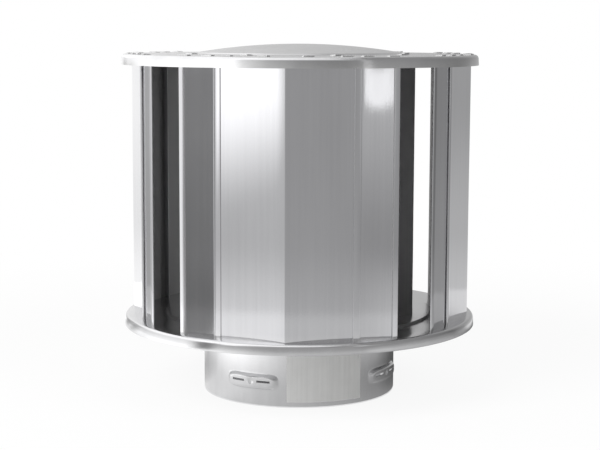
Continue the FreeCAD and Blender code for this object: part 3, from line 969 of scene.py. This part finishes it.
def rimPoints(size):
    # the turned-down rim, from the top face out to its edge and back under the sheet
    radius, top, sheet = size["radius"], size["top"], size["sheet"]
    shoulder, edge = radius - size["flare"], size["rimRound"]
    return [(shoulder, top, size["corner"]), (radius, top - size["rim"], edge),
            (radius - sheet, top - size["rim"], edge),
            (shoulder - sheet, top - sheet, size["corner"] - sheet)]


def makeTopPlate(size):
    top, sheet, foot, bend = size["top"], size["sheet"], size["domeFoot"], size["domeBend"]
    rings, run, steps = size["domeRings"], size["domeRun"], size["arcSteps"]
    shoulder = foot - size["domeStep"]
    rise = size["apex"] - top - size["domeStep"]
    dome = [(shoulder * k / rings, size["apex"] - rise * (k / rings) ** 2, 0)
            for k in range(rings)]
    dome.append((shoulder, top + size["domeStep"], bend))
    rim = rimPoints(size)
    outer = dome + [(foot + run, top, bend)] + rim[:2]
    inner = rim[2:] + [(foot + run, top - sheet, bend)]
    inner += [(r, z - sheet, arc) for r, z, arc in reversed(dome)]
    line = []
    for side in (outer, inner):
        line += divided(rounded(side, steps, False), size["spacing"], False)
    newPiece("topPlate", spun(line, size["steps"]), metals["plateSteel"], ("top_plate",))


def makeBasePlate(size):
    top, sheet, raised, hole = size["top"], size["sheet"], size["stepTop"], size["hole"]
    step, run, shift = size["stepRadius"], size["stepRun"], size["underShift"]
    bend, under, edge = size["stepBend"], size["underBend"], size["holeRound"]
    profile = [(hole, raised, edge), (step, raised, bend), (step + run, top, bend)]
    profile += rimPoints(size)
    profile += [(step + run - shift, top - sheet, under), (step - shift, raised - sheet, under),
                (hole, raised - sheet, edge)]
    line = divided(rounded(profile, size["arcSteps"]), size["spacing"])
    newPiece("basePlate", spun(line, size["steps"]), metals["plateSteel"], ("base_plate",))


makeTopPlate(topPlate)
makeBasePlate(basePlate)
print("plates pressed")


# collars and rivets
collar = {
    "outer": 57.95, "sheet": 0.5, "height": 48.0, "flangeInner": 51.85, "corner": 0.6,
    "neck": 46.4,  # where the plain wall ends and the turned-in top starts
    "lugs": 4, "lugTurn": -28.5, "lugSpan": 34.0, "lugHeight": 9.4, "lugMiddle": 14.4,
    "lugRise": 1.6, "sidePower": 6, "endPower": 3, "lugEdge": 0.8,
    "slotTurn": 8.0, "slotSpan": 8.0, "slotHeight": 1.3, "slotDrop": -0.4,
    "dimpleRise": 0.8, "dimpleSize": 1.9,
    "seamTurn": 180, "seamHalf": 4.0, "seamRise": 0.5, "seamEdge": 0.5,
    "column": 2.5, "lugColumn": 0.7,  # degrees between the mesh's columns
    "footRows": (0.0, 0.4, 2, 4, 6, 8), "lugMargin": 0.6, "lugRow": 0.45, "lugRows": 24,
    "upperFoot": 20.5, "upperRow": 2.6, "upperRows": 10,
    "leastGap": 0.12,  # between two rows or two columns
    "slot": "collar_steel",
}
flue = {
    "outer": 50.4, "sheet": 0.45, "low": 8.6, "top": 48.6, "flange": 57.35, "bend": 1.0,
    "edgeRound": 0.15, "arcSteps": 5, "spacing": 7, "steps": 144, "slot": "flue_aluminium",
}
rivets = {
    "circle": 54.575, "count": 3, "shank": 1.6, "head": 2.575, "low": 46.6, "high": 49.95,
    "underside": 47.5, "topside": 49.05, "shankSides": 20, "headSides": 24, "headRings": 12,
    "slot": "rivet_steel",
}
patch = {
    "from": -7.0, "to": 38.0, "low": 3.2, "high": 37.0, "gap": 0.08, "sheet": 0.12,
    "columns": 30, "rows": 12, "slot": "collar_steel",
}


def onCylinder(azimuth, radius, z):
    return (outward(azimuth) * radius + Vector((0, 0, z))) * mm


def degreesFrom(middle, azimuth):
    # from -180 to 180, to the right of the middle
    return (azimuth - middle + 180) % 360 - 180


def lugMiddles(size):
    return [size["lugTurn"] + 360 / size["lugs"] * lug for lug in range(size["lugs"])]


def collarAngles(size):
    # closer together across the lugs, and one at each end of a slot
    span = size["lugSpan"]
    steps = int(span / size["lugColumn"])
    marks = {round(k * size["column"], 3) for k in range(int(360 / size["column"]))}
    for middle in lugMiddles(size):
        for k in range(-2, steps + 3):
            marks.add(round((middle - span / 2 + k * span / steps) % 360, 3))
        for side in (-1, 1):
            for end in (-1, 1):
                mark = middle + side * size["slotTurn"] + end * size["slotSpan"] / 2
                marks.add(round(mark % 360, 3))
    ordered = sorted(marks)
    return [a for i, a in enumerate(ordered) if i == 0 or a - ordered[i - 1] > size["leastGap"]]


def collarLevels(size):
    # closer together across the lugs, and one at each edge of the slots
    slotLow = size["lugMiddle"] - size["slotDrop"] - size["slotHeight"] / 2
    slotEdges = (slotLow, slotLow + size["slotHeight"])
    lugFoot = size["lugMiddle"] - size["lugHeight"] / 2 - size["lugMargin"]
    levels = [*size["footRows"], *slotEdges, size["neck"]]
    levels += [lugFoot + size["lugRow"] * k for k in range(size["lugRows"])]
    levels += [size["upperFoot"] + size["upperRow"] * k for k in range(size["upperRows"])]
    levels = sorted({round(z, 3) for z in levels})
    return [z for i, z in enumerate(levels)
            if i == 0 or z - levels[i - 1] > size["leastGap"] or z in slotEdges]


def collarRise(size, azimuth, z):
    # how far the wall is pressed outwards, in mm
    rise = 0.0
    outer = size["outer"]
    for middle in lugMiddles(size):
        off = degreesFrom(middle, azimuth)
        across = abs(off) / (size["lugSpan"] / 2)
        up = abs(z - size["lugMiddle"]) / (size["lugHeight"] / 2)
        depth = (1 - across ** size["sidePower"] - up ** size["endPower"]) / size["lugEdge"]
        depth = max(0.0, min(1.0, depth))
        rise += size["lugRise"] * depth * depth * (3 - 2 * depth)
        reach = math.hypot(math.radians(off) * outer, z - size["lugMiddle"] + size["slotDrop"])
        if reach < size["dimpleSize"]:
            dip = 0.5 * (1 + math.cos(math.pi * reach / size["dimpleSize"]))
            rise -= size["dimpleRise"] * dip
    seam = math.radians(abs(degreesFrom(size["seamTurn"], azimuth))) * outer
    if seam < size["seamHalf"]:
        rise += size["seamRise"] * min(1.0, (size["seamHalf"] - seam) / size["seamEdge"])
    return rise


def inSlot(size, azimuth, z):
    if abs(z - size["lugMiddle"] + size["slotDrop"]) >= size["slotHeight"] / 2:
        return False
    return any(abs(degreesFrom(middle + side * size["slotTurn"], azimuth)) < size["slotSpan"] / 2
               for middle in lugMiddles(size) for side in (-1, 1))


def makeOuterCollar(size):
    angles, levels = collarAngles(size), collarLevels(size)
    columns = len(angles)
    outer, height = size["outer"], size["height"]
    vertices = [onCylinder(a, outer + collarRise(size, a, z), z) for z in levels for a in angles]
    # the top is turned in under the base plate
    turnIn = rounded([(outer, size["neck"], 0), (outer, height, size["corner"]),
                      (size["flangeInner"], height, 0)], closed=False)[1:]
    vertices += [onCylinder(a, radius, z) for radius, z in turnIn for a in angles]
    faces = []
    for i in range(len(levels) + len(turnIn) - 1):
        for k in range(columns):
            m = (k + 1) % columns
            if i < len(levels) - 1:
                following = angles[m] if m else angles[0] + 360
                if inSlot(size, (angles[k] + following) / 2, (levels[i] + levels[i + 1]) / 2):
                    continue
            low, high = i * columns, (i + 1) * columns
            faces.append((low + k, low + m, high + m, high + k))
    skin = tidyMesh(meshFrom(vertices, faces), joinGap["collar"])
    newPiece("outerCollar", walled(skin, size["sheet"] * mm, -1), metals["collarSteel"],
             ("outer_collar",))


def makeFlueCollar(size):
    outer, sheet, bend, top = size["outer"], size["sheet"], size["bend"], size["top"]
    low, flange, edge = size["low"], size["flange"], size["edgeRound"]
    profile = [
        (outer - sheet, low, edge), (outer, low, edge), (outer, top, bend), (flange, top, edge),
        (flange, top + sheet, edge), (outer - sheet, top + sheet, bend + sheet)]
    line = divided(rounded(profile, size["arcSteps"]), size["spacing"])
    newPiece("flueCollar", spun(line, size["steps"]), metals["flueAluminium"],
             ("flue_collar",))


def rivetTree():
    # a shank with a domed head at both ends, on each point of a ring
    tree, given, result = newTree("rivetRing", {
        "Float": ("Circle", "Shank", "Head", "Low", "High", "Underside", "Topside"),
        "Int": ("Count", "Shank sides", "Head sides", "Head rings"), "Material": ("Finish",)})
    ring = nodeOut(tree, "GeometryNodeMeshCircle", {
        "Vertices": given["Count"], "Radius": given["Circle"]})
    long = maths(tree, "SUBTRACT", given["Topside"], given["Underside"])
    middle = maths(tree, "MULTIPLY", maths(tree, "ADD", given["Topside"], given["Underside"]), 0.5)
    shank = nodeOut(tree, "GeometryNodeMeshCylinder", {
        "Vertices": given["Shank sides"], "Radius": given["Shank"], "Depth": long})
    parts = [addNode(tree, "GeometryNodeTransform", {
        "Geometry": shank, "Translation": combined(tree, z=middle)})]
    for side, edge in (("Topside", "High"), ("Underside", "Low")):
        ball = addNode(tree, "GeometryNodeMeshUVSphere", {
            "Segments": given["Head sides"], "Rings": given["Head rings"], "Radius": 1.0})
        thick = maths(tree, "ABSOLUTE", maths(tree, "SUBTRACT", given[edge], given[side]))
        parts.append(addNode(tree, "GeometryNodeTransform", {
            "Geometry": ball.outputs[0], "Translation": combined(tree, z=given[side]),
            "Scale": combined(tree, x=given["Head"], y=given["Head"], z=thick)}))
    joined = tree.nodes.new("GeometryNodeJoinGeometry")
    for part in parts:
        tree.links.new(part.outputs[0], joined.inputs[0])
    placed = nodeOut(tree, "GeometryNodeInstanceOnPoints", {
        "Points": ring, "Instance": joined.outputs[0]})
    closeTree(tree, placed, given["Finish"], result)
    return tree


def makeRivets(size):
    values = {label.capitalize(): size[label] * mm
              for label in ("circle", "shank", "head", "low", "high", "underside", "topside")}
    finish = metals["rivetSteel"]
    shape = grown(rivetTree(), meshFrom([(0, 0, 0)]), {
        **values, "Count": size["count"], "Shank sides": size["shankSides"],
        "Head sides": size["headSides"], "Head rings": size["headRings"], "Finish": finish})
    newPiece("collarRivets", shape, finish, ("collar_rivets",))


def makePatch(size):
    # a bare foil patch that is wrapped round the front of the collar
    columns, rows = size["columns"], size["rows"]
    vertices, faces = [], []
    for j in range(rows + 1):
        z = size["low"] + (size["high"] - size["low"]) * j / rows
        for k in range(columns + 1):
            azimuth = size["from"] + (size["to"] - size["from"]) * k / columns
            vertices.append(onCylinder(azimuth, collar["outer"] + size["gap"], z))
    for j in range(rows):
        for k in range(columns):
            first = j * (columns + 1) + k
            faces.append((first, first + 1, first + columns + 2, first + columns + 1))
    shape = walled(meshFrom(vertices, faces), size["sheet"] * mm, 1)
    newPiece("foilPatch", shape, foilFinish(foil), ())


makeOuterCollar(collar)
makeFlueCollar(flue)
makeRivets(rivets)
makePatch(patch)
print("collars, rivets and patch made")
